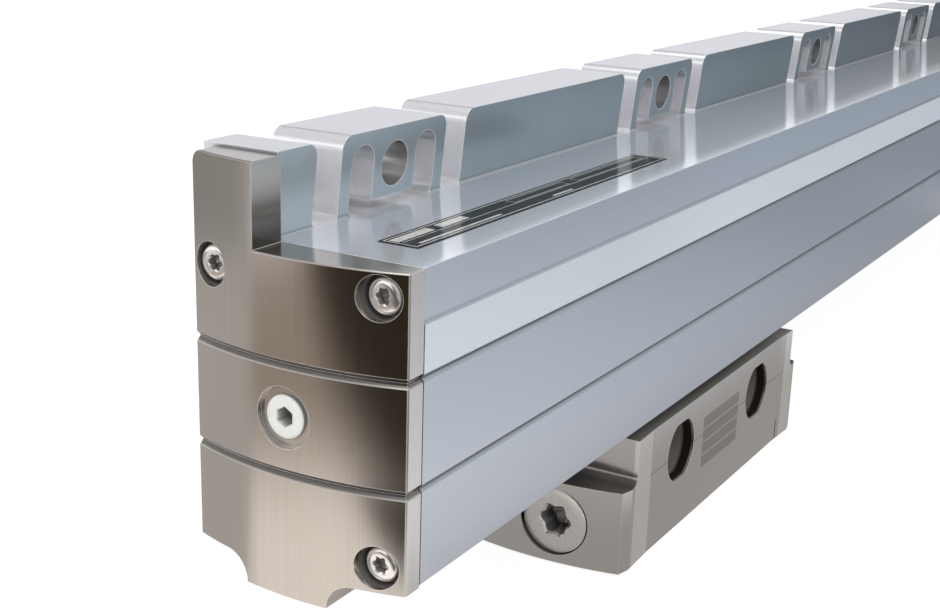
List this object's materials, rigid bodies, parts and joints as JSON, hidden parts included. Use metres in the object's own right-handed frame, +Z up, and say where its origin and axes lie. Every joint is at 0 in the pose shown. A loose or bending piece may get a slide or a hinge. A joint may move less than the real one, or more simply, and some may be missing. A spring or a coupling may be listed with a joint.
{
  "type": "linear glass scale",
  "caption": "Sealed linear encoder: slotted aluminium housing with a spring-block mounting flange, arched end caps, glass scale inside and a scanning unit that slides below.",
  "frame": {"origin": "axis of the first fixing hole, where it leaves the rear mounting face", "axes": "+X along the measuring length away from the first hole, +Y into the machine surface that carries the scale, +Z up from the scanning unit towards the flange"},
  "size_m": [0.471, 0.037, 0.085],
  "materials": {
    "anodised": "clear-anodised, satin with a slight sheen",
    "nickel": "nickel-plated, fine vertical brush marks",
    "steel": "bright nickel-plated steel",
    "spring_steel": "ground spring steel",
    "white_plastic": "smooth white plastic",
    "plate_film": "black film, semi-gloss",
    "black_plastic": "fine matt black",
    "seal_rubber": "black elastomer",
    "bond_silicone": "pale elastic bond",
    "glass": "polished optical glass",
    "carriage_metal": "dark fine-cast metal",
    "board_green": "green solder resist",
    "lead_film": "amber film over copper tracks",
    "gold": "gold-plated contact",
    "lamp_body": "smoky red resin"
  },
  "bodies": {
    "scale_unit": {"scale_housing": "anodised", "glass_scale": "glass", "scale_bond": "bond_silicone", "lip_front": "seal_rubber", "lip_rear": "seal_rubber", "end_cap_near": "nickel", "end_cap_far": "nickel", "cap_gasket_near": "seal_rubber", "cap_gasket_far": "seal_rubber", "cap_screws_near": "steel", "cap_screws_far": "steel", "air_plug_near": "white_plastic", "air_plug_far": "white_plastic", "type_plate": "plate_film"},
    "scanning_unit": {"mounting_block": "nickel", "block_lid": "nickel", "lid_gasket": "seal_rubber", "lid_screws": "steel", "blade": "spring_steel", "blade_screws": "steel", "port_plug": "nickel", "port_seal_near": "seal_rubber", "cable_socket": "black_plastic", "socket_pins": "gold", "port_seal_far": "seal_rubber", "interface_board": "board_green", "board_chips": "black_plastic", "board_screws": "steel", "flex_lead": "lead_film", "carriage": "carriage_metal", "drive_rod": "spring_steel", "rod_clamp": "nickel", "rod_screws": "steel", "lamp": "lamp_body", "lamp_lens": "glass", "lens_ring": "black_plastic", "scanning_grid": "glass", "grid_frame": "black_plastic", "sensor_board": "board_green", "sensor_chip": "black_plastic", "sensor_screws": "steel", "edge_axles": "steel", "side_axles": "steel"},
    "edge_roller_1": {"edge_roller_1": "steel"},
    "edge_roller_2": {"edge_roller_2": "steel"},
    "side_roller_1": {"side_roller_1": "steel"},
    "side_roller_2": {"side_roller_2": "steel"},
    "side_roller_3": {"side_roller_3": "steel"}
  },
  "joints": [
    {"name": "scan_slide", "type": "slide", "parent": "scale_unit", "child": "scanning_unit", "axis": [1, 0, 0], "range_m": [-0.055, 0.285]},
    {"name": "edge_roller_1_turn", "type": "hinge", "parent": "scanning_unit", "child": "edge_roller_1", "pos_m": [0.065, -0.0185, -0.0349], "axis": [0, 1, 0], "continuous": true},
    {"name": "edge_roller_2_turn", "type": "hinge", "parent": "scanning_unit", "child": "edge_roller_2", "pos_m": [0.105, -0.0185, -0.0349], "axis": [0, 1, 0], "continuous": true},
    {"name": "side_roller_1_turn", "type": "hinge", "parent": "scanning_unit", "child": "side_roller_1", "pos_m": [0.059, -0.02315, -0.01705], "axis": [0, 0, 1], "continuous": true},
    {"name": "side_roller_2_turn", "type": "hinge", "parent": "scanning_unit", "child": "side_roller_2", "pos_m": [0.111, -0.02315, -0.01705], "axis": [0, 0, 1], "continuous": true},
    {"name": "side_roller_3_turn", "type": "hinge", "parent": "scanning_unit", "child": "side_roller_3", "pos_m": [0.099, -0.02315, -0.03], "axis": [0, 0, 1], "continuous": true}
  ],
  "couplings": [
    {"joint": "edge_roller_1_turn", "follows": "scan_slide", "rad_per_m": -333.33},
    {"joint": "edge_roller_2_turn", "follows": "scan_slide", "rad_per_m": -333.33},
    {"joint": "side_roller_1_turn", "follows": "scan_slide", "rad_per_m": 333.33},
    {"joint": "side_roller_2_turn", "follows": "scan_slide", "rad_per_m": 333.33},
    {"joint": "side_roller_3_turn", "follows": "scan_slide", "rad_per_m": 333.33}
  ]
}
